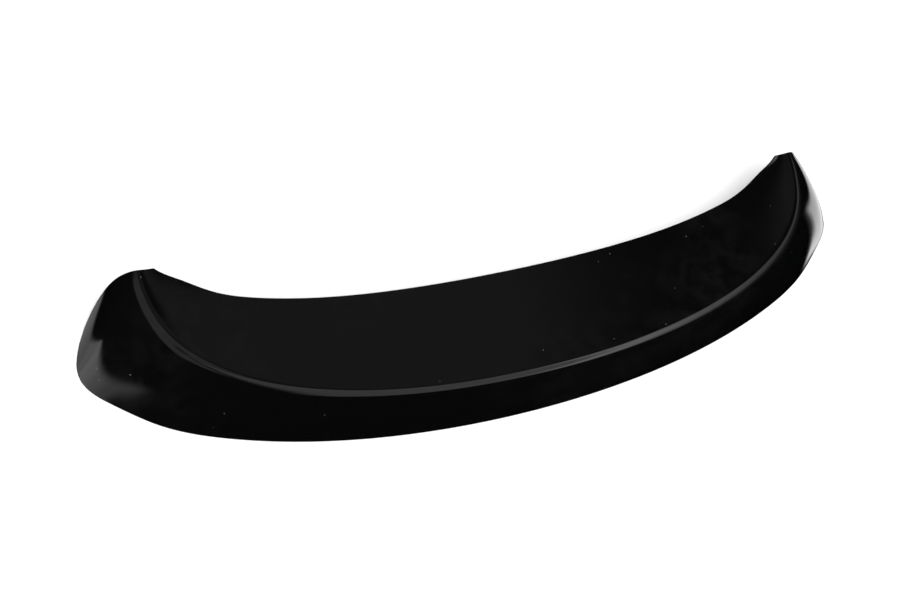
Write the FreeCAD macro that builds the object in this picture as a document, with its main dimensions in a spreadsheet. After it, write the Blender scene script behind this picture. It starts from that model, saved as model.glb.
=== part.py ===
# Car spoiler cap: one thin moulded shell that fits over the rear edge of a car's own spoiler.
# Frame: X across the car, +Y towards the front of the car, +Z up, lower rim on Z = 0.
import FreeCAD, Part
import math
import os
import Sketcher
from FreeCAD import Vector

doc = FreeCAD.newDocument("spoiler_cap")

# Driving dimensions, in millimetres and degrees; the fullness values are powers without a unit
sizes = doc.addObject("Spreadsheet::Sheet", "sizes")
dimensions = [
    ("ridge_half", 488, "half width of the ridge line, between its tips"),
    ("ridge_sweep", 210, "how far the tips of the ridge stand ahead of its middle"),
    ("ridge_fullness", 0.945, "how soon the ridge reaches its full width: lower is sooner"),
    ("sweep_fullness", 0.8, "how late the ridge turns forward: lower is later"),
    ("fan_angle", 45, "turn of the section at the tips away from straight ahead"),
    ("top_middle", 138, "depth of the top, ridge to front edge, at the middle"),
    ("top_tip", 24, "depth of the top at the tips"),
    ("top_fullness", 0.655, "how long the top stays deep: lower is longer"),
    ("run_middle", 44, "how far the lower rim stands behind the ridge at the middle"),
    ("run_tip", 108, "how far the lower rim stands out from the ridge at the tips"),
    ("run_fullness", 1.54, "how late the rim moves out from the ridge: higher is later"),
    ("ridge_height_middle", 62, "height of the ridge over the rim at the middle"),
    ("ridge_height_tip", 61, "height of the ridge over the rim at the tips"),
    ("front_height_middle", 25, "height of the front edge at the middle"),
    ("front_height_tip", 56, "height of the front edge at the tips"),
    ("top_sag", 6, "hollow of the top below a straight line, at the middle"),
    ("band_crown_middle", 2.5, "outward bow of the rear band at the middle"),
    ("band_crown_tip", 9, "outward bow of the rear band at the tips"),
    ("ridge_round_middle", 10, "outer radius along the ridge at the middle"),
    ("ridge_round_tip", 36, "outer radius along the ridge at the tips"),
    ("wall", 3.5, "sheet thickness"),
    ("end_run_on", 40, "how far the sheet is drawn on past the tips, before it is trimmed"),
    ("end_lean", 10, "how far the ridge leans in over that length"),
    ("end_draw", 25, "how far the rim draws in over that length"),
    ("end_taper", 11, "how much of the top's depth is lost over that length"),
    ("end_reach", 218, "front of the trimmed ends, ahead of the ridge's middle"),
    ("end_round", 60, "radius of the trimmed ends, seen from the side"),
    ("trim_depth", 6, "depth of sheet below the rim that is trimmed away"),
]
for row, (alias, value, note) in enumerate(dimensions, start=1):
    sizes.set(f"A{row}", str(value))
    sizes.setAlias(f"A{row}", alias)
    sizes.set(f"B{row}", note)
doc.recompute()

# The sections are drawn about the ridge's middle; the part's own origin is the centre of its plan
body = doc.addObject("PartDesign::Body", "spoiler_cap")
body.Label = "spoiler_cap"
body.setExpression("Placement.Base.y", "(sizes.run_middle - sizes.end_reach) / 2")
side_plane = [item for item in body.Origin.OriginFeatures if item.Role == "YZ_Plane"][0]


# Room for the ridge's radius in each section; across and up are from an arc's centre to the front edge
fits = doc.addObject("Spreadsheet::Sheet", "fits")
crest_share = 0.85


def blend(middle, tip, share):
    return f"(sizes.{middle} + (sizes.{tip} - sizes.{middle}) * {share})"


def ridge_station(angle):
    # one section between the middle of the ridge, at 0 degrees, and its tip, at 90
    sine, cosine = f"sin({angle} deg)", f"cos({angle} deg)"
    late = f"(1 - {cosine}) ^ sizes.run_fullness"
    return {
        "across": f"sizes.ridge_half * {sine} ^ sizes.ridge_fullness",
        "ahead": f"sizes.ridge_sweep * (1 - {cosine} ^ sizes.sweep_fullness)",
        "turn": f"sizes.fan_angle * {angle} / 90",
        "top": blend("top_middle", "top_tip", f"(1 - {cosine} ^ sizes.top_fullness)"),
        "run": blend("run_middle", "run_tip", late),
        "crown": blend("band_crown_middle", "band_crown_tip", late),
        "round": blend("ridge_round_middle", "ridge_round_tip", late),
        "ridge": blend("ridge_height_middle", "ridge_height_tip", f"(1 - {cosine})"),
        "front": blend("front_height_middle", "front_height_tip", f"(1 - {cosine})"),
    }


def end_station(share):
    # one section of the sheet that runs on past a tip
    return {
        "across": f"sizes.ridge_half - sizes.end_lean * {share} ^ 2",
        "ahead": f"sizes.ridge_sweep + sizes.end_run_on * {share}",
        "turn": "sizes.fan_angle",
        "top": f"(sizes.top_tip - sizes.end_taper * {share})",
        "run": f"(sizes.run_tip - sizes.end_draw * {share})",
        "crown": "sizes.band_crown_tip",
        "round": "sizes.ridge_round_tip",
        "ridge": "sizes.ridge_height_tip",
        "front": "sizes.front_height_tip",
    }


def fit_round(row, station):
    # where the top falls away from the ridge, the ridge's radius is held to a share of the one whose
    # crest would reach the front edge
    cells = [(key, station[key]) for key in ("top", "run", "ridge", "front", "crown")]
    cells += [
        ("sag", "sizes.top_sag * {top} / sizes.top_middle"),
        ("top_chord", "sqrt({top} ^ 2 + ({ridge} - {front}) ^ 2)"),
        ("top_radius", "{top_chord} ^ 2 / (8 * {sag}) + {sag} / 2"),
        ("band_chord", "sqrt({run} ^ 2 + {ridge} ^ 2)"),
        ("band_radius", "{band_chord} ^ 2 / (8 * {crown}) + {crown} / 2"),
        ("top_across", "{top} / 2 - ({ridge} - {front}) / {top_chord} * ({top_radius} - {sag})"),
        ("top_up", "({front} - {ridge}) / 2 - {top} / {top_chord} * ({top_radius} - {sag})"),
        ("band_across", "{top} + {run} / 2 - {ridge} / {band_chord} * ({band_radius} - {crown})"),
        ("band_up", "{front} - {ridge} / 2 + {run} / {band_chord} * ({band_radius} - {crown})"),
        ("lean", "({top_across} * {band_across} + {top_up} * {band_up}) / {top_radius}"),
        ("limit", "({band_radius} ^ 2 - {band_across} ^ 2 - {band_up} ^ 2) / (2 * ({band_radius} + {lean}))"),
        ("set", station["round"]),
        ("round", f"{{ridge}} > {{front}} ? min({{set}}; {crest_share} * {{limit}}) : {{set}}"),
    ]
    names = {key: f"{key}_{row}" for key, _ in cells}
    for column, (key, expression) in enumerate(cells):
        cell = f"{chr(ord('A') + column)}{row}"
        fits.set(cell, "=" + expression.format(**names))
        fits.setAlias(cell, names[key])
    return f"fits.{names['round']}"


def bow_radius(run, rise, bow):
    # radius of the arc that stands bow off the middle of a chord with this run and rise
    return f"(({run}) * ({run}) + ({rise}) * ({rise})) / (8 * {bow}) + {bow} / 2"


def arc_centre(start, end, radius):
    # centre on the left of the chord, for an arc that turns anticlockwise
    chord = end - start
    left = Vector(-chord.y, chord.x, 0).normalize()
    return (start + end) * 0.5 + left * math.sqrt(radius ** 2 - (chord.Length / 2) ** 2)


def arc(centre, radius, start, end):
    turn = [math.atan2(point.y - centre.y, point.x - centre.x) for point in (start, end)]
    return Part.ArcOfCircle(Part.Circle(centre, Vector(0, 0, 1), radius), *turn)


def circles_meet(first, first_radius, second, second_radius):
    # the meeting point on the right of the line from the first centre to the second
    line = second - first
    gap = line.Length
    line.normalize()
    reach = (gap ** 2 + first_radius ** 2 - second_radius ** 2) / (2 * gap)
    aside = math.sqrt(first_radius ** 2 - reach ** 2)
    return first + line * reach + Vector(line.y, -line.x, 0) * aside


def at_height(centre, radius, height):
    # point of a circle on its left side
    return Vector(centre.x - math.sqrt(radius ** 2 - (height - centre.y) ** 2), height, 0)


def side_sketch(name):
    sketch = body.newObject("Sketcher::SketchObject", name)
    sketch.AttachmentSupport = [(side_plane, "")]
    sketch.MapMode = "FlatFace"
    return sketch


def number(expression):
    return float(FreeCAD.Units.Quantity(sizes.evalExpression(expression)).Value)


def bind(sketch, bound):
    for label, kind, places, expression in bound:
        constraint = sketch.addConstraint(Sketcher.Constraint(kind, *places, number(expression)))
        sketch.renameConstraint(constraint, label)
        sketch.setExpression(f"Constraints.{label}", expression)


def add_section(name, station, side):
    # side is -1 on the left, 0 at the middle and 1 on the right
    top, run, ridge, front = [station[key] for key in ("top", "run", "ridge", "front")]
    sag = f"(sizes.top_sag * {top} / sizes.top_middle)"
    top_radius = bow_radius(top, f"{ridge} - {front}", sag)
    band_radius = bow_radius(run, ridge, station["crown"])

    sketch = side_sketch(name)
    start_turn = FreeCAD.Rotation(Vector(0, side or 1, 0), number(station["turn"]))
    sketch.AttachmentOffset = FreeCAD.Placement(Vector(), start_turn)
    sketch.setExpression("AttachmentOffset.Base.x", station["ahead"])
    sketch.setExpression("AttachmentOffset.Base.z", f"{side} * ({station['across']})")
    if side:
        sketch.setExpression("AttachmentOffset.Rotation.Angle", station["turn"])

    # outer line: front edge, hollow top, round crest, bowed band; inner line one wall inside
    wall = number("sizes.wall")
    crest = number(station["round"])
    foot = -number("sizes.trim_depth")
    outer_top, outer_band = number(top_radius), number(band_radius)
    inner_top, inner_band = outer_top + wall, outer_band - wall
    front_edge = Vector(number(top), number(front), 0)
    ridge_point = Vector(0, number(ridge), 0)
    rim = Vector(-number(run), 0, 0)
    top_centre = arc_centre(ridge_point, front_edge, outer_top)
    band_centre = arc_centre(ridge_point, rim, outer_band)
    crest_centre = circles_meet(top_centre, outer_top + crest, band_centre, outer_band - crest)
    to_top = (top_centre - crest_centre).normalize()
    to_band = (crest_centre - band_centre).normalize()
    under_front = math.sqrt(inner_top ** 2 - (front_edge.x - top_centre.x) ** 2)
    inner_front = Vector(front_edge.x, top_centre.y - under_front, 0)
    outer_foot = at_height(band_centre, outer_band, foot)
    inner_foot = at_height(band_centre, inner_band, foot)
    crest_start, crest_end = [crest_centre + way * crest for way in (to_top, to_band)]
    inner_start, inner_end = [crest_centre + way * (crest - wall) for way in (to_top, to_band)]
    sketch.addGeometry(arc(top_centre, outer_top, crest_start, front_edge))
    sketch.addGeometry(arc(crest_centre, crest, crest_start, crest_end))
    sketch.addGeometry(arc(band_centre, outer_band, crest_end, outer_foot))
    sketch.addGeometry(Part.LineSegment(outer_foot, inner_foot))
    sketch.addGeometry(arc(band_centre, inner_band, inner_end, inner_foot))
    sketch.addGeometry(arc(crest_centre, crest - wall, inner_start, inner_end))
    sketch.addGeometry(arc(top_centre, inner_top, inner_start, inner_front))
    sketch.addGeometry(Part.LineSegment(inner_front, front_edge))
    ridge_mark = sketch.addGeometry(Part.Point(ridge_point), True)
    rim_mark = sketch.addGeometry(Part.Point(rim), True)

    add = sketch.addConstraint
    add(Sketcher.Constraint("Tangent", 1, 1, 0, 1))
    add(Sketcher.Constraint("Tangent", 1, 2, 2, 1))
    add(Sketcher.Constraint("Coincident", 2, 2, 3, 1))
    add(Sketcher.Constraint("Coincident", 3, 2, 4, 2))
    add(Sketcher.Constraint("Tangent", 5, 2, 4, 1))
    add(Sketcher.Constraint("Tangent", 5, 1, 6, 1))
    add(Sketcher.Constraint("Coincident", 6, 2, 7, 1))
    add(Sketcher.Constraint("Coincident", 7, 2, 0, 2))
    add(Sketcher.Constraint("Coincident", 0, 3, 6, 3))
    add(Sketcher.Constraint("Coincident", 2, 3, 4, 3))
    add(Sketcher.Constraint("Horizontal", 3))
    add(Sketcher.Constraint("Vertical", 7))
    add(Sketcher.Constraint("PointOnObject", ridge_mark, 1, -2))
    add(Sketcher.Constraint("PointOnObject", ridge_mark, 1, 0))
    add(Sketcher.Constraint("PointOnObject", ridge_mark, 1, 2))
    add(Sketcher.Constraint("PointOnObject", rim_mark, 1, -1))
    add(Sketcher.Constraint("PointOnObject", rim_mark, 1, 2))
    bind(sketch, [
        ("top", "DistanceX", (-1, 1, 0, 2), top),
        ("front", "DistanceY", (-1, 1, 0, 2), front),
        ("ridge", "DistanceY", (-1, 1, ridge_mark, 1), ridge),
        ("run", "DistanceX", (rim_mark, 1, -1, 1), run),
        ("foot", "DistanceY", (2, 2, -1, 1), "sizes.trim_depth"),
        ("outer_top", "Radius", (0,), top_radius),
        ("outer_crest", "Radius", (1,), station["round"]),
        ("outer_band", "Radius", (2,), band_radius),
        ("inner_band", "Radius", (4,), f"{band_radius} - sizes.wall"),
        ("inner_crest", "Radius", (5,), f"{station['round']} - sizes.wall"),
        ("inner_top", "Radius", (6,), f"{top_radius} + sizes.wall"),
    ])
    return sketch


# Sections from the left end to the right end
stations = [ridge_station(angle) for angle in (0, 18, 36, 52, 66, 78, 90)]
stations += [end_station(share) for share in (0.5, 1)]
for row, station in enumerate(stations, start=1):
    station["round"] = fit_round(row, station)
doc.recompute()
sections = [add_section("section_middle", stations[0], 0)]
for count, station in enumerate(stations[1:], start=1):
    sections.insert(0, add_section(f"section_left_{count}", station, -1))
    sections.append(add_section(f"section_right_{count}", station, 1))
shell = body.newObject("PartDesign::AdditiveLoft", "shell")
shell.Profile = sections[0]
shell.Sections = sections[1:]
doc.recompute()

# What is cut away, seen from the side: all below the rim, and all ahead of the rounded ends
trim = side_sketch("trim_outline")
spare = "2 * sizes.trim_depth"
ends = {
    "over": f"sizes.ridge_height_tip + sizes.end_round + {spare}",
    "beyond": f"sizes.end_reach + sizes.ridge_sweep + sizes.end_run_on + {spare}",
    "behind": f"sizes.run_tip + {spare}",
}
over, beyond, behind = [number(ends[key]) for key in ("over", "beyond", "behind")]
under = -number(spare)
reach = number("sizes.end_reach")
end_round = number("sizes.end_round")
round_start = Vector(reach - end_round, 0, 0)
round_end = Vector(reach, end_round, 0)
corners = [round_end, Vector(reach, over, 0), Vector(beyond, over, 0), Vector(beyond, under, 0)]
corners += [Vector(-behind, under, 0), Vector(-behind, 0, 0), round_start]
for start, end in zip(corners, corners[1:]):
    trim.addGeometry(Part.LineSegment(start, end))
trim.addGeometry(arc(Vector(round_start.x, round_end.y, 0), end_round, round_start, round_end))
for line, kind in enumerate(("Vertical", "Horizontal", "Vertical", "Horizontal", "Vertical", "Horizontal")):
    trim.addConstraint(Sketcher.Constraint(kind, line))
for line in range(5):
    trim.addConstraint(Sketcher.Constraint("Coincident", line, 2, line + 1, 1))
trim.addConstraint(Sketcher.Constraint("PointOnObject", 5, 1, -1))
trim.addConstraint(Sketcher.Constraint("Tangent", 5, 2, 6, 1))
trim.addConstraint(Sketcher.Constraint("Tangent", 6, 2, 0, 1))
bind(trim, [
    ("reach", "DistanceX", (-1, 1, 0, 1), "sizes.end_reach"),
    ("end_round", "Radius", (6,), "sizes.end_round"),
    ("over", "DistanceY", (-1, 1, 1, 1), ends["over"]),
    ("beyond", "DistanceX", (-1, 1, 2, 1), ends["beyond"]),
    ("under", "DistanceY", (3, 1, -1, 1), spare),
    ("behind", "DistanceX", (4, 1, -1, 1), ends["behind"]),
])
end_trim = body.newObject("PartDesign::Pocket", "end_trim")
end_trim.Profile = trim
end_trim.SideType = "Symmetric"
end_trim.setExpression("Length", "4 * (sizes.ridge_half + sizes.run_tip)")
doc.recompute()

for item in doc.Objects:
    if "Invalid" in item.State or "Error" in item.State:
        raise RuntimeError(f"{item.Name} failed: {item.State}")
if body.Shape.isNull() or not body.Shape.isValid():
    raise RuntimeError(f"{body.Label} has no valid shape")
if body.Shape.Volume >= shell.Shape.Volume:
    raise RuntimeError("the trim cut nothing away")
os.makedirs("parts", exist_ok=True)
body.Shape.exportStep(f"parts/{body.Label}.step")
print(f"{body.Label}: {body.Shape.Volume / 1000:.1f} cm3, {len(body.Shape.Solids)} solid")
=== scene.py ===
import bpy
import math
import numpy as np
from mathutils import Matrix, Vector


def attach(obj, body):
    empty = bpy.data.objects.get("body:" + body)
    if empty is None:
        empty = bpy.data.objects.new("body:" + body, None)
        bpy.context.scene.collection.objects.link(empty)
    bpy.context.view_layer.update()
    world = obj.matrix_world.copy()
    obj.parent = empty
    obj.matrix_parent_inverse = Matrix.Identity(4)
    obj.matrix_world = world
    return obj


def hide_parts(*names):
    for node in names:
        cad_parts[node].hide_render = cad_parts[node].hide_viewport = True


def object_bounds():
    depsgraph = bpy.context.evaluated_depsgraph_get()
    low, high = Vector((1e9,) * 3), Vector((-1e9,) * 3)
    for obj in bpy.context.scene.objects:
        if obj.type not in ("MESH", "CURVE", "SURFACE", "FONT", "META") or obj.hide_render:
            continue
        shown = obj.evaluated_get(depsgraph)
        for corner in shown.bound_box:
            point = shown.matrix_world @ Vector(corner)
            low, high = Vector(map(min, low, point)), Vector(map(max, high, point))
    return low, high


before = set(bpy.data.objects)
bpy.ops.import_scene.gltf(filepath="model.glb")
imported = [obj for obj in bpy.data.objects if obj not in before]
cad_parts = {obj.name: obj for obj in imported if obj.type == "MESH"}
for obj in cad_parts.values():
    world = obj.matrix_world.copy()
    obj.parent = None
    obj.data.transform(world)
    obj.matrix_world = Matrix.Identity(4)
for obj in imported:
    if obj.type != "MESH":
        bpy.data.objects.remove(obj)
cadLow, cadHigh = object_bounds()
print("frame loaded:", sorted(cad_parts))

# camera at the photo's angle: place and look come from matching the part's own lines
photoView = {
    "place": Vector((-0.9908, -0.23478, 1.66674)),
    "lookAzimuth": math.radians(74.44),    # from +Y towards +X
    "lookDown": math.radians(60.13),
    "roll": math.radians(59.99),           # +Z leans this far to the right of image up
    "focalPixels": 1500,
    "imageWidth": 920,
    "sensor": 36.0,
}


def addCamera(v):
    flat = math.cos(v["lookDown"])
    side, ahead = math.sin(v["lookAzimuth"]), math.cos(v["lookAzimuth"])
    forward = Vector((flat * side, flat * ahead, -math.sin(v["lookDown"])))
    levelRight = forward.cross(Vector((0, 0, 1))).normalized()
    levelUp = levelRight.cross(forward)
    right = levelRight * math.cos(v["roll"]) + levelUp * math.sin(v["roll"])
    up = levelUp * math.cos(v["roll"]) - levelRight * math.sin(v["roll"])
    camData = bpy.data.cameras.new("photoCamera")
    camData.sensor_width = v["sensor"]
    camData.lens = v["sensor"] * v["focalPixels"] / v["imageWidth"]
    camera = bpy.data.objects.new("photoCamera", camData)
    turn = Matrix((right, up, -forward)).transposed().to_4x4()
    camera.matrix_world = Matrix.Translation(v["place"]) @ turn
    bpy.context.scene.collection.objects.link(camera)
    bpy.context.scene.camera = camera


addCamera(photoView)
print("camera set")

# the cap's own sections, in millimetres and degrees, as in the solid; the last two lines are the mesh's own
capSizes = {
    "ridgeHalf": 488, "ridgeSweep": 210, "ridgeFullness": 0.945, "sweepFullness": 0.8, "fanAngle": 45,
    "topMiddle": 138, "topTip": 24, "topFullness": 0.655,
    "runMiddle": 44, "runTip": 108, "runFullness": 1.54,
    "ridgeHeightMiddle": 62, "ridgeHeightTip": 61, "frontHeightMiddle": 25, "frontHeightTip": 56,
    "topSag": 6, "bandCrownMiddle": 2.5, "bandCrownTip": 9,
    "ridgeRoundMiddle": 10, "ridgeRoundTip": 36, "wall": 3.5,
    "endRunOn": 40, "endLean": 10, "endDraw": 25, "endTaper": 11, "endReach": 218, "endRound": 60,
    "stationAngles": (0, 18, 36, 52, 66, 78, 90), "endShares": (0.5, 1),
    "topRows": 22, "crestRows": 14, "bandRows": 26, "halfStations": 110, "trimSteps": 50,
    "edgeRound": 0.0015, "edgeSegments": 4, "edgeAngle": 40,    # edgeRound is in metres
}


def towardsTip(v, size, share):
    return v[size + "Middle"] + (v[size + "Tip"] - v[size + "Middle"]) * share


def sectionStations(v):
    stations = []
    for angle in v["stationAngles"]:
        sine, cosine = math.sin(math.radians(angle)), max(math.cos(math.radians(angle)), 0)
        topShare, runShare = 1 - cosine ** v["topFullness"], (1 - cosine) ** v["runFullness"]
        stations.append({
            "across": v["ridgeHalf"] * sine ** v["ridgeFullness"],
            "ahead": v["ridgeSweep"] * (1 - cosine ** v["sweepFullness"]),
            "turn": math.radians(v["fanAngle"] * angle / v["stationAngles"][-1]),
            "top": towardsTip(v, "top", topShare),
            "run": towardsTip(v, "run", runShare),
            "crown": towardsTip(v, "bandCrown", runShare),
            "round": towardsTip(v, "ridgeRound", runShare),
            "ridge": towardsTip(v, "ridgeHeight", 1 - cosine),
            "front": towardsTip(v, "frontHeight", 1 - cosine),
        })
    for share in v["endShares"]:
        stations.append({
            "across": v["ridgeHalf"] - v["endLean"] * share ** 2,
            "ahead": v["ridgeSweep"] + v["endRunOn"] * share,
            "turn": math.radians(v["fanAngle"]),
            "top": v["topTip"] - v["endTaper"] * share,
            "run": v["runTip"] - v["endDraw"] * share,
            "crown": v["bandCrownTip"],
            "round": v["ridgeRoundTip"],
            "ridge": v["ridgeHeightTip"],
            "front": v["frontHeightTip"],
        })
    return stations


def bowCentre(start, end, bow):
    # centre and radius of the arc that stands bow off the chord, with its centre on the chord's left
    chord = end - start
    radius = chord.dot(chord) / (8 * bow) + bow / 2
    left = np.array((-chord[1], chord[0])) / np.linalg.norm(chord)
    return (start + end) / 2 + left * (radius - bow), radius


def circlesMeet(first, firstRadius, second, secondRadius):
    # the meeting point on the right of the line from the first centre to the second
    line = second - first
    gap = np.linalg.norm(line)
    line = line / gap
    reach = (gap ** 2 + firstRadius ** 2 - secondRadius ** 2) / (2 * gap)
    aside = math.sqrt(firstRadius ** 2 - reach ** 2)
    return first + line * reach + np.array((line[1], -line[0])) * aside


def arcRow(centre, radius, start, end, count):
    # points along the shorter way round from start to end
    turns = [math.atan2(p[1] - centre[1], p[0] - centre[0]) for p in (start, end)]
    turns[1] -= 2 * math.pi * round((turns[1] - turns[0]) / (2 * math.pi))
    angles = np.linspace(turns[0], turns[1], count)
    return centre + radius * np.stack((np.cos(angles), np.sin(angles)), 1)


def sectionLine(station, v, inset):
    # front edge to rim, inset from the outer face: columns are ahead of the ridge, and height
    ridge = np.array((0.0, station["ridge"]))
    front = np.array((station["top"], station["front"]))
    rim = np.array((-station["run"], 0.0))
    topCentre, topRadius = bowCentre(ridge, front, v["topSag"] * station["top"] / v["topMiddle"])
    bandCentre, bandRadius = bowCentre(ridge, rim, station["crown"])
    crest = station["round"]
    crestCentre = circlesMeet(topCentre, topRadius + crest, bandCentre, bandRadius - crest)
    toTop = (topCentre - crestCentre) / np.linalg.norm(topCentre - crestCentre)
    toBand = (crestCentre - bandCentre) / np.linalg.norm(crestCentre - bandCentre)
    crestStart, crestEnd = crestCentre + toTop * (crest - inset), crestCentre + toBand * (crest - inset)
    insetTop, insetBand = topRadius + inset, bandRadius - inset
    frontDrop = math.sqrt(insetTop ** 2 - (front[0] - topCentre[0]) ** 2)
    frontEnd = np.array((front[0], topCentre[1] - frontDrop))
    rimEnd = np.array((bandCentre[0] - math.sqrt(insetBand ** 2 - bandCentre[1] ** 2), 0.0))
    topRow = arcRow(topCentre, insetTop, frontEnd, crestStart, v["topRows"])
    crestRow = arcRow(crestCentre, crest - inset, crestStart, crestEnd, v["crestRows"])
    bandRow = arcRow(bandCentre, insetBand, crestEnd, rimEnd, v["bandRows"])
    return np.concatenate((topRow, crestRow[1:], bandRow[1:]))


def sectionPoints(station, v):
    # outer line from front edge to rim, then the inner line back; mm, about the ridge's middle
    loop = np.concatenate((sectionLine(station, v, 0), sectionLine(station, v, v["wall"])[::-1]))
    plan = loop[:, 0]
    x = station["across"] - math.sin(station["turn"]) * plan
    y = station["ahead"] + math.cos(station["turn"]) * plan
    return np.stack((x, y, loop[:, 1]), 1)


def splineThrough(knots, points):
    # natural cubic spline through the section points, one line for each point of the loop
    count = len(knots)
    gap = np.diff(knots)
    system = np.eye(count)
    slopes = np.zeros((count,) + points.shape[1:])
    for k in range(1, count - 1):
        system[k, k - 1:k + 2] = gap[k - 1], 2 * (gap[k - 1] + gap[k]), gap[k]
        rise = (points[k + 1] - points[k]) / gap[k] - (points[k] - points[k - 1]) / gap[k - 1]
        slopes[k] = 6 * rise
    bend = np.linalg.solve(system, slopes.reshape(count, -1)).reshape(slopes.shape)

    def at(rowKnots):
        # rowKnots gives each line its own place; returns one point on each line
        k = np.clip(np.searchsorted(knots, rowKnots, side="right") - 1, 0, count - 2)
        rows = np.arange(points.shape[1])
        g = gap[k][:, None]
        a = (knots[k + 1] - rowKnots)[:, None]
        b = (rowKnots - knots[k])[:, None]
        p0, p1, m0, m1 = points[k, rows], points[k + 1, rows], bend[k, rows], bend[k + 1, rows]
        curve = (m0 * a ** 3 + m1 * b ** 3) / (6 * g)
        return curve + (p0 / g - m0 * g / 6) * a + (p1 / g - m1 * g / 6) * b

    return at


def trimmedEnds(at, lastKnot, rows, v):
    # where each line meets the side-view trim: level rim, round corner, upright front
    low, high = np.zeros(rows), np.full(rows, lastKnot)
    for _ in range(v["trimSteps"]):
        middle = (low + high) / 2
        p = at(middle)
        drop = np.clip((v["endRound"] - p[:, 2]) / v["endRound"], 0, 1)
        limit = v["endReach"] - v["endRound"] * (1 - np.sqrt(1 - drop ** 2))
        past = p[:, 1] > limit
        high = np.where(past, middle, high)
        low = np.where(past, low, middle)
    return low


def shellFaces(stations, rows):
    # a band of faces from each station to the next, then the two end walls; backs marks the inner side
    faces, backs = [], []
    for i in range(stations - 1):
        for j in range(rows):
            a, b = i * rows + j, i * rows + (j + 1) % rows
            faces.append((a, b, b + rows, a + rows))
            backs.append(rows // 2 <= j < rows - 1)
    last = (stations - 1) * rows
    for j in range(rows // 2 - 1):
        a, b, c, d = j, j + 1, rows - 2 - j, rows - 1 - j     # outer pair, then the inner pair behind it
        faces.append((d, c, b, a))
        faces.append((last + a, last + b, last + c, last + d))
        backs += [False, False]
    return faces, backs


def addCap(v):
    half = [sectionPoints(station, v) for station in sectionStations(v)]
    mirrored = [points * np.array((-1, 1, 1)) for points in half[:0:-1]]
    sections = np.array(mirrored + half)
    steps = np.linalg.norm(np.diff(sections, axis=0), axis=2).mean(axis=1)
    knots = np.concatenate(([0], np.cumsum(steps)))
    knots -= knots[len(half) - 1]
    at = splineThrough(knots, sections)
    rows = sections.shape[1]
    ends = trimmedEnds(at, knots[-1], rows, v)
    shares = np.linspace(-1, 1, 2 * v["halfStations"] + 1)
    verts = np.array([at(ends * share) for share in shares]).reshape(-1, 3)
    low, high = verts.min(axis=0), verts.max(axis=0)
    boxLow, boxHigh = np.array(cadLow), np.array(cadHigh)     # laid on the solid's own box, in metres
    verts = boxLow + (verts - low) * (boxHigh - boxLow) / (high - low)
    faces, backs = shellFaces(len(shares), rows)
    mesh = bpy.data.meshes.new("capShell")
    mesh.from_pydata([tuple(p) for p in verts], [], faces)
    for face, back in zip(mesh.polygons, backs):
        face.use_smooth = True
        face.material_index = 1 if back else 0
    mesh.update()
    cap = bpy.data.objects.new("capShell", mesh)
    bpy.context.scene.collection.objects.link(cap)
    bevel = cap.modifiers.new("edgeRound", "BEVEL")
    bevel.width = v["edgeRound"]
    bevel.segments = v["edgeSegments"]
    bevel.limit_method = "ANGLE"
    bevel.angle_limit = math.radians(v["edgeAngle"])
    bevel.harden_normals = True
    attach(cap, "root")
    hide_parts("spoiler_cap")
    return cap


cap = addCap(capSizes)
print("cap shell:", len(cap.data.vertices), "points")


def newGroup(name, inputs, outputs):
    group = bpy.data.node_groups.new(name, "ShaderNodeTree")
    for socket, value in inputs.items():
        made = group.interface.new_socket(socket, in_out="INPUT", socket_type="NodeSocketFloat")
        made.default_value = value
    for socket in outputs:
        group.interface.new_socket(socket, in_out="OUTPUT", socket_type="NodeSocketFloat")
    return group, group.nodes.new("NodeGroupInput"), group.nodes.new("NodeGroupOutput")


hazeNoise = {
    "patchScale": 6.0, "patchDetail": 3.0, "patchRange": (0.46, 0.70),
    "streakScale": 40.0, "streakDetail": 5.0, "streakDistortion": 1.2, "streakRange": (0.30, 0.75),
}


def polishHaze(v):
    # cloudy marks that wiping leaves: broad patches with finer streaks inside them
    scales = {"Patch Scale": v["patchScale"], "Streak Scale": v["streakScale"]}
    group, given, out = newGroup("polishHaze", scales, ["Haze"])
    nodes, link = group.nodes, group.links.new
    place = nodes.new("ShaderNodeTexCoord")
    patch = nodes.new("ShaderNodeTexNoise")
    patch.inputs["Detail"].default_value = v["patchDetail"]
    streak = nodes.new("ShaderNodeTexNoise")
    streak.inputs["Detail"].default_value = v["streakDetail"]
    streak.inputs["Distortion"].default_value = v["streakDistortion"]
    patchRange, streakRange = nodes.new("ShaderNodeMapRange"), nodes.new("ShaderNodeMapRange")
    for spread, (low, high) in ((patchRange, v["patchRange"]), (streakRange, v["streakRange"])):
        spread.interpolation_type = "SMOOTHSTEP"
        spread.inputs["From Min"].default_value = low
        spread.inputs["From Max"].default_value = high
    both = nodes.new("ShaderNodeMath")
    both.operation = "MULTIPLY"
    link(place.outputs["Object"], patch.inputs["Vector"])
    link(place.outputs["Object"], streak.inputs["Vector"])
    link(given.outputs["Patch Scale"], patch.inputs["Scale"])
    link(given.outputs["Streak Scale"], streak.inputs["Scale"])
    link(patch.outputs["Fac"], patchRange.inputs["Value"])
    link(streak.outputs["Fac"], streakRange.inputs["Value"])
    link(patchRange.outputs["Result"], both.inputs[0])
    link(streakRange.outputs["Result"], both.inputs[1])
    link(both.outputs["Value"], out.inputs["Haze"])
    return group


speckCells = {"Scale": 120.0, "Grain": 0.06, "Picked": 0.1}


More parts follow.
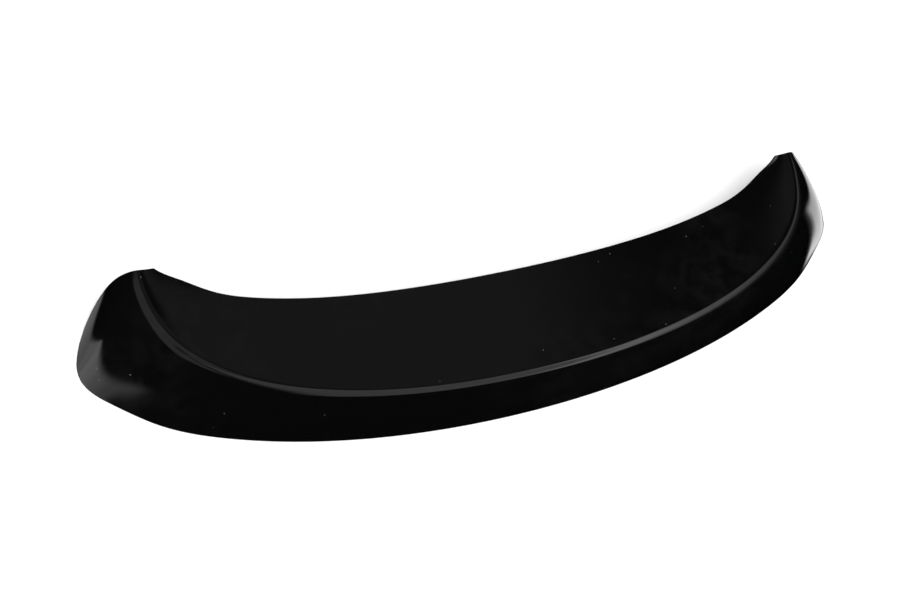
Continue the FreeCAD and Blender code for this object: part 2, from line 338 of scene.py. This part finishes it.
def dustSpecks(v):
    # single grains: a cell's middle counts where the cell is one of the few picked
    group, given, out = newGroup("dustSpecks", v, ["Specks"])
    nodes, link = group.nodes, group.links.new
    place = nodes.new("ShaderNodeTexCoord")
    cells = nodes.new("ShaderNodeTexVoronoi")
    pick = nodes.new("ShaderNodeSeparateColor")
    near, few, both = [nodes.new("ShaderNodeMath") for _ in range(3)]
    near.operation, few.operation, both.operation = "LESS_THAN", "LESS_THAN", "MULTIPLY"
    link(place.outputs["Object"], cells.inputs["Vector"])
    link(given.outputs["Scale"], cells.inputs["Scale"])
    link(cells.outputs["Distance"], near.inputs[0])
    link(given.outputs["Grain"], near.inputs[1])
    link(cells.outputs["Color"], pick.inputs["Color"])
    link(pick.outputs["Red"], few.inputs[0])
    link(given.outputs["Picked"], few.inputs[1])
    link(near.outputs["Value"], both.inputs[0])
    link(few.outputs["Value"], both.inputs[1])
    link(both.outputs["Value"], out.inputs["Specks"])
    return group


rippleNoise = {"scale": 300.0, "detail": 1.0}


def mouldRipple(v):
    # the slight waviness that drawn sheet keeps
    group, given, out = newGroup("mouldRipple", {"Scale": v["scale"]}, ["Height"])
    nodes, link = group.nodes, group.links.new
    place = nodes.new("ShaderNodeTexCoord")
    noise = nodes.new("ShaderNodeTexNoise")
    noise.inputs["Detail"].default_value = v["detail"]
    link(place.outputs["Object"], noise.inputs["Vector"])
    link(given.outputs["Scale"], noise.inputs["Scale"])
    link(noise.outputs["Fac"], out.inputs["Height"])
    return group


groups = {"haze": polishHaze(hazeNoise), "specks": dustSpecks(speckCells), "ripple": mouldRipple(rippleNoise)}
print("shared effects:", sorted(groups))

glossLook = {
    "colour": (0.0014, 0.0014, 0.0016, 1), "hazed": (0.0033, 0.0033, 0.0035, 1),
    "dust": (0.16, 0.16, 0.15, 1),
    "roughness": (0.045, 0.16), "ior": 1.5,
    "patchScale": 5.0, "streakScale": 34.0,
    "speckScale": 95.0, "grain": 0.05, "picked": 0.10,
    "rippleScale": 260.0, "rippleStrength": 0.03, "rippleHeight": 0.0002,
}
backLook = {
    "colour": (0.010, 0.010, 0.010, 1), "hazed": (0.018, 0.018, 0.018, 1),
    "dust": (0.12, 0.12, 0.11, 1),
    "roughness": (0.38, 0.52), "ior": 1.5,
    "patchScale": 8.0, "streakScale": 60.0,
    "speckScale": 120.0, "grain": 0.06, "picked": 0.15,
    "rippleScale": 900.0, "rippleStrength": 0.25, "rippleHeight": 0.0003,
}


def sheetMaterial(name, v):
    material = bpy.data.materials.new(name)
    material.use_nodes = True
    nodes, link = material.node_tree.nodes, material.node_tree.links.new
    shader = nodes["Principled BSDF"]
    shader.inputs["IOR"].default_value = v["ior"]

    def place(group, values):
        node = nodes.new("ShaderNodeGroup")
        node.node_tree = groups[group]
        for socket, value in values.items():
            node.inputs[socket].default_value = value
        return node

    haze = place("haze", {"Patch Scale": v["patchScale"], "Streak Scale": v["streakScale"]})
    specks = place("specks", {"Scale": v["speckScale"], "Grain": v["grain"], "Picked": v["picked"]})
    ripple = place("ripple", {"Scale": v["rippleScale"]})
    clouded, dusted = nodes.new("ShaderNodeMix"), nodes.new("ShaderNodeMix")
    for mix in (clouded, dusted):
        mix.data_type = "RGBA"
    clouded.inputs["A"].default_value = v["colour"]
    clouded.inputs["B"].default_value = v["hazed"]
    dusted.inputs["B"].default_value = v["dust"]
    polish = nodes.new("ShaderNodeMapRange")
    polish.inputs["To Min"].default_value, polish.inputs["To Max"].default_value = v["roughness"]
    bump = nodes.new("ShaderNodeBump")
    bump.inputs["Strength"].default_value = v["rippleStrength"]
    bump.inputs["Distance"].default_value = v["rippleHeight"]
    link(haze.outputs["Haze"], clouded.inputs["Factor"])
    link(clouded.outputs["Result"], dusted.inputs["A"])
    link(specks.outputs["Specks"], dusted.inputs["Factor"])
    link(dusted.outputs["Result"], shader.inputs["Base Color"])
    link(haze.outputs["Haze"], polish.inputs["Value"])
    link(polish.outputs["Result"], shader.inputs["Roughness"])
    link(ripple.outputs["Height"], bump.inputs["Height"])
    link(bump.outputs["Normal"], shader.inputs["Normal"])
    return material


cap.data.materials.append(sheetMaterial("glossBlack", glossLook))
cap.data.materials.append(sheetMaterial("sheetBack", backLook))
print("finishes:", [material.name for material in cap.data.materials])


def addRectangle(name, width, height, material):
    # flat about the origin, width and height to each side of it
    mesh = bpy.data.meshes.new(name)
    corners = [(-width, -height, 0), (width, -height, 0), (width, height, 0), (-width, height, 0)]
    mesh.from_pydata(corners, [], [(0, 1, 2, 3)])
    mesh.materials.append(material)
    rectangle = bpy.data.objects.new(name, mesh)
    bpy.context.scene.collection.objects.link(rectangle)
    return rectangle


floorLook = {"size": 16.0, "colour": (0.86, 0.86, 0.86, 1), "roughness": 0.9}


def addFloor(v):
    material = bpy.data.materials.new("paleFloor")
    material.use_nodes = True
    shader = material.node_tree.nodes["Principled BSDF"]
    shader.inputs["Base Color"].default_value = v["colour"]
    shader.inputs["Roughness"].default_value = v["roughness"]
    floor = addRectangle("floor", v["size"] / 2, v["size"] / 2, material)
    floor.visible_glossy = False      # the gloss mirrors the cards, not the floor


addFloor(floorLook)
print("floor laid")

# soft cards that the gloss mirrors: way and distance from the part, spread to each side in degrees, spin
# about the way in degrees where there is one, the levels from one side of the card to the other as
# (place, share of strength), and the share of its height that fades out
cards = {
    "ridgeCard": {
        "way": (0.58, -0.45, 0.68), "distance": 6.0, "spread": (38, 37), "fade": 0.12, "strength": 2.7,
        "levels": ((0.0, 0.0), (0.17, 0.27), (0.40, 0.31), (0.47, 0.34), (0.53, 0.78), (0.56, 0.74),
                   (0.62, 0.45), (0.70, 0.24), (0.80, 0.04), (1.0, 0.0)),
    },
    "leftRidgeCard": {
        "way": (0.02, -0.08, 1.0), "distance": 9.0, "spread": (26, 24), "fade": 0.3, "strength": 0.42,
        "levels": ((0.0, 0.0), (0.12, 1.0), (0.9, 1.0), (1.0, 0.0)),
    },
    "topCard": {
        "way": (0.42, 0.50, 0.76), "distance": 1.5, "spread": (17, 27), "fade": 0.6, "strength": 0.13,
        "levels": ((0.0, 0.6), (0.3, 1.0), (0.62, 1.0), (0.90, 0.0)),
    },
    "leftCard": {
        "way": (-0.876, -0.466, 0.122), "distance": 6.0, "spread": (29.5, 23.5), "fade": 0.35,
        "strength": 2.2,
        "levels": ((0.0, 0.0), (0.10, 0.03), (0.22, 0.36), (0.46, 0.6), (0.71, 0.85), (1.0, 1.0)),
    },
    "leftEdgeCard": {
        "way": (-0.869, 0.209, -0.448), "distance": 6.0, "spread": (52, 20), "fade": 0.15,
        "strength": 2.2, "spin": 71,
        "levels": ((0.0, 0.9), (0.34, 0.72), (0.475, 0.48), (0.68, 0.35), (0.84, 0.25), (0.92, 0.0)),
    },
    "rightCard": {
        "way": (0.965, 0.034, -0.259), "distance": 6.0, "spread": (13, 15), "fade": 0.35,
        "strength": 2.5, "spin": -19,
        "levels": ((0.0, 0.0), (0.05, 0.05), (0.15, 0.9), (0.9, 0.9), (1.0, 0.4)),
    },
    "underCard": {
        "way": (0.35, -0.25, -0.90), "distance": 6.0, "spread": (28, 24), "fade": 0.4, "strength": 1.2,
        "levels": ((0.0, 0.4), (0.3, 1.0), (0.7, 1.0), (1.0, 0.4)),
    },
}
sideWay = 0.8      # a way whose X share reaches this is to the side, and its card is laid along Y, not X


def cardMaterial(name, v):
    material = bpy.data.materials.new(name)
    material.use_nodes = True
    nodes, link = material.node_tree.nodes, material.node_tree.links.new
    nodes.remove(nodes["Principled BSDF"])
    glow = nodes.new("ShaderNodeEmission")
    place = nodes.new("ShaderNodeTexCoord")
    split = nodes.new("ShaderNodeSeparateXYZ")
    ramp = nodes.new("ShaderNodeValToRGB")
    ramp.color_ramp.interpolation = "EASE"
    stops = ramp.color_ramp.elements
    while len(stops) < len(v["levels"]):
        stops.new(0.5)      # its place is set below
    for stop, (where, level) in zip(stops, v["levels"]):
        stop.position = where
        stop.color = (level, level, level, 1)
    centred, size, both, scaled = [nodes.new("ShaderNodeMath") for _ in range(4)]
    centred.operation, size.operation = "MULTIPLY_ADD", "ABSOLUTE"     # 0 at mid height, 1 at the two edges
    centred.inputs[1].default_value, centred.inputs[2].default_value = 2.0, -1.0
    fade = nodes.new("ShaderNodeMapRange")
    fade.interpolation_type = "SMOOTHSTEP"
    fade.inputs["From Min"].default_value, fade.inputs["From Max"].default_value = 1 - v["fade"], 1.0
    fade.inputs["To Min"].default_value, fade.inputs["To Max"].default_value = 1.0, 0.0
    both.operation, scaled.operation = "MULTIPLY", "MULTIPLY"
    scaled.inputs[1].default_value = v["strength"]
    link(place.outputs["Generated"], split.inputs["Vector"])
    link(split.outputs["X"], ramp.inputs["Fac"])
    link(split.outputs["Y"], centred.inputs[0])
    link(centred.outputs["Value"], size.inputs[0])
    link(size.outputs["Value"], fade.inputs["Value"])
    link(ramp.outputs["Color"], both.inputs[0])
    link(fade.outputs["Result"], both.inputs[1])
    link(both.outputs["Value"], scaled.inputs[0])
    link(scaled.outputs["Value"], glow.inputs["Strength"])
    link(glow.outputs["Emission"], nodes["Material Output"].inputs["Surface"])
    return material


def addCard(name, v):
    way = Vector(v["way"]).normalized()
    across = Vector((1, 0, 0)) if abs(way.x) < sideWay else Vector((0, 1, 0))
    across = (across - way * across.dot(way)).normalized()
    across = Matrix.Rotation(math.radians(v.get("spin", 0)), 3, way) @ across
    along = way.cross(across)
    width, height = [v["distance"] * math.tan(math.radians(angle)) for angle in v["spread"]]
    card = addRectangle(name, width, height, cardMaterial(name, v))
    turn = Matrix((across, along, way)).transposed().to_4x4()
    card.matrix_world = Matrix.Translation(way * v["distance"]) @ turn
    card.visible_camera = False
    card.visible_diffuse = False
    card.visible_shadow = False


for name, v in cards.items():
    addCard(name, v)
print("studio cards:", sorted(cards))

roomLight = {"colour": (1, 1, 1, 1), "strength": 1.8}


def addRoomLight(v):
    world = bpy.data.worlds.new("studio")
    world.use_nodes = True
    world.node_tree.nodes["Background"].inputs["Color"].default_value = v["colour"]
    world.node_tree.nodes["Background"].inputs["Strength"].default_value = v["strength"]
    world.cycles_visibility.glossy = False      # the gloss mirrors the cards, not the room
    bpy.context.scene.world = world


addRoomLight(roomLight)
bpy.context.scene.view_settings.view_transform = "Standard"
print("room light set")
